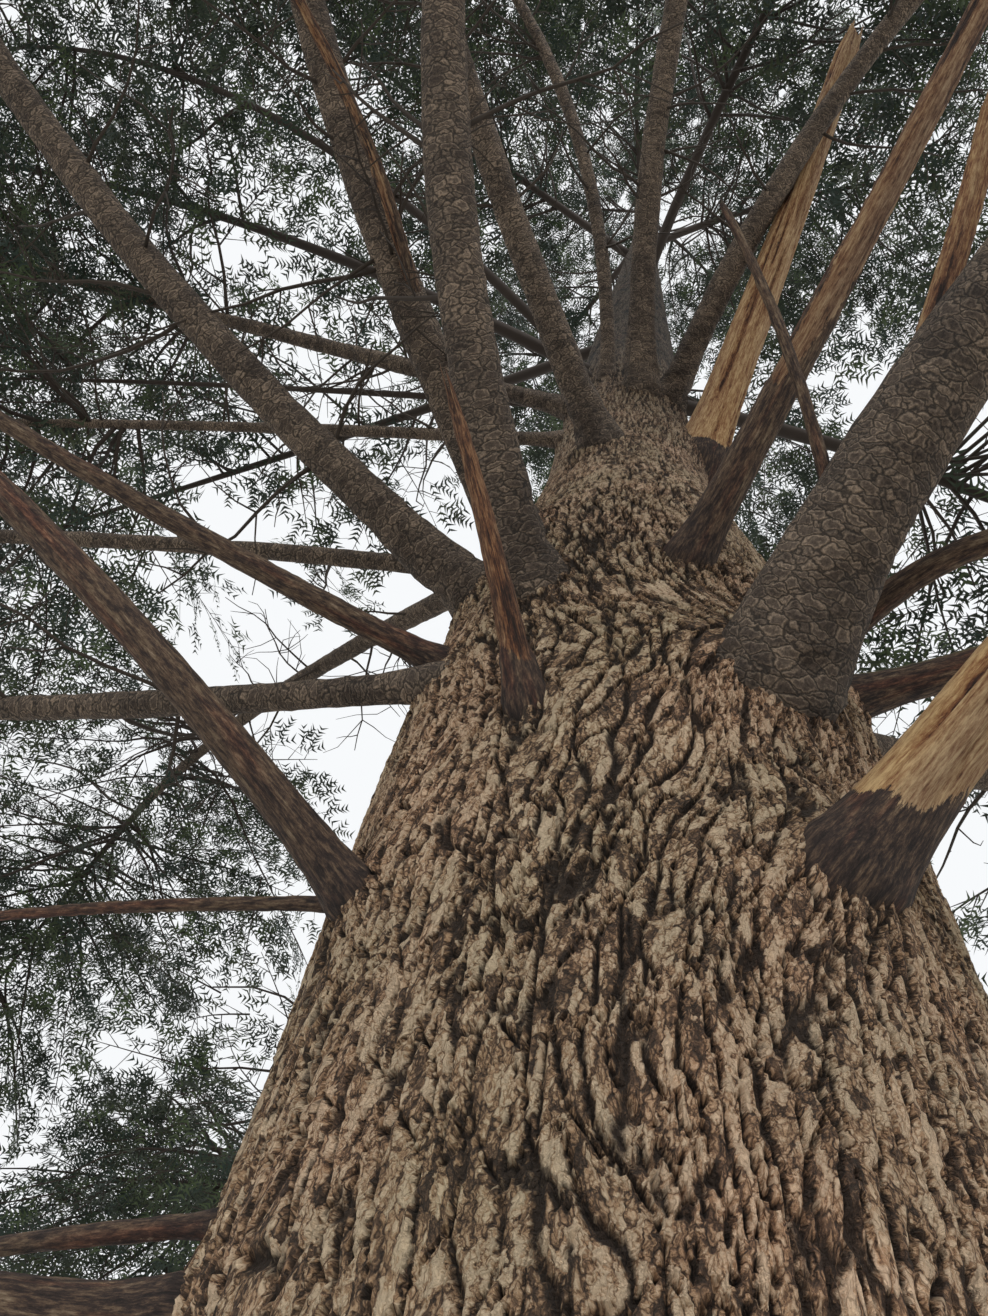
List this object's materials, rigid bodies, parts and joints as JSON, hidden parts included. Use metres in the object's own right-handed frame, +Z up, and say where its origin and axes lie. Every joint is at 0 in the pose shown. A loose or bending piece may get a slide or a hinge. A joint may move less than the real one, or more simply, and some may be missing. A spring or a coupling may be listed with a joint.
{
  "type": "eastern hemlock tree",
  "caption": "Old open-grown eastern hemlock with a flared furrowed trunk, low sweeping boughs, broken dead limbs and drooping evergreen foliage.",
  "frame": {"origin": "middle of the flat cut under the trunk, at ground level", "axes": "+Z up along the trunk; the picture's view stands on the -Y side and looks up towards +Y"},
  "size_m": [18.3192, 17.8661, 22],
  "materials": {
    "trunk_bark": "deeply furrowed grey-brown bark",
    "bough_bark": "scaly grey-brown bark",
    "dead_wood": "weathered splintered wood, yellow-tan to red-brown",
    "foliage": "dark green needles on fine brown twigs"
  },
  "bodies": {
    "root": {"trunk": "trunk_bark", "bough_low_left": "bough_bark", "bough_long_left": "bough_bark", "bough_mid_left": "bough_bark", "bough_high_left": "bough_bark", "bough_upper_left": "bough_bark", "bough_overhead_left": "bough_bark", "bough_overhead_inner": "bough_bark", "bough_overhead_back": "bough_bark", "bough_overhead_slender": "bough_bark", "bough_overhead_middle": "bough_bark", "bough_overhead_right": "bough_bark", "bough_heavy_right": "bough_bark", "bough_rear_right": "bough_bark", "bough_rear_middle": "bough_bark", "bough_rear_left": "bough_bark", "bough_rear_far_left": "bough_bark", "dead_big_left": "dead_wood", "dead_thin_left": "dead_wood", "dead_slim_left": "dead_wood", "dead_drooping_left": "dead_wood", "stub_low_left": "dead_wood", "snag_front": "dead_wood", "snag_overhead": "dead_wood", "dead_barkless": "dead_wood", "dead_curved_right": "dead_wood", "dead_mossy_right": "dead_wood", "snag_split_right": "dead_wood", "dead_branch_overhead": "dead_wood", "dead_curved_thin": "dead_wood", "snag_upright_right": "dead_wood", "foliage_low_left": "foliage", "foliage_long_left": "foliage", "foliage_mid_left": "foliage", "foliage_high_left": "foliage", "foliage_upper_left": "foliage", "foliage_overhead_left": "foliage", "foliage_overhead_inner": "foliage", "foliage_overhead_back": "foliage", "foliage_overhead_slender": "foliage", "foliage_overhead_middle": "foliage", "foliage_overhead_right": "foliage", "foliage_heavy_right": "foliage", "foliage_rear_right": "foliage", "foliage_rear_middle": "foliage", "foliage_rear_left": "foliage", "foliage_rear_far_left": "foliage", "foliage_crown_01": "foliage", "foliage_crown_02": "foliage", "foliage_crown_03": "foliage", "foliage_crown_04": "foliage", "foliage_crown_05": "foliage", "foliage_crown_06": "foliage", "foliage_crown_07": "foliage", "foliage_crown_08": "foliage", "foliage_crown_09": "foliage", "foliage_crown_10": "foliage", "foliage_crown_11": "foliage", "foliage_crown_12": "foliage", "foliage_crown_13": "foliage"}
  },
  "joints": []
}
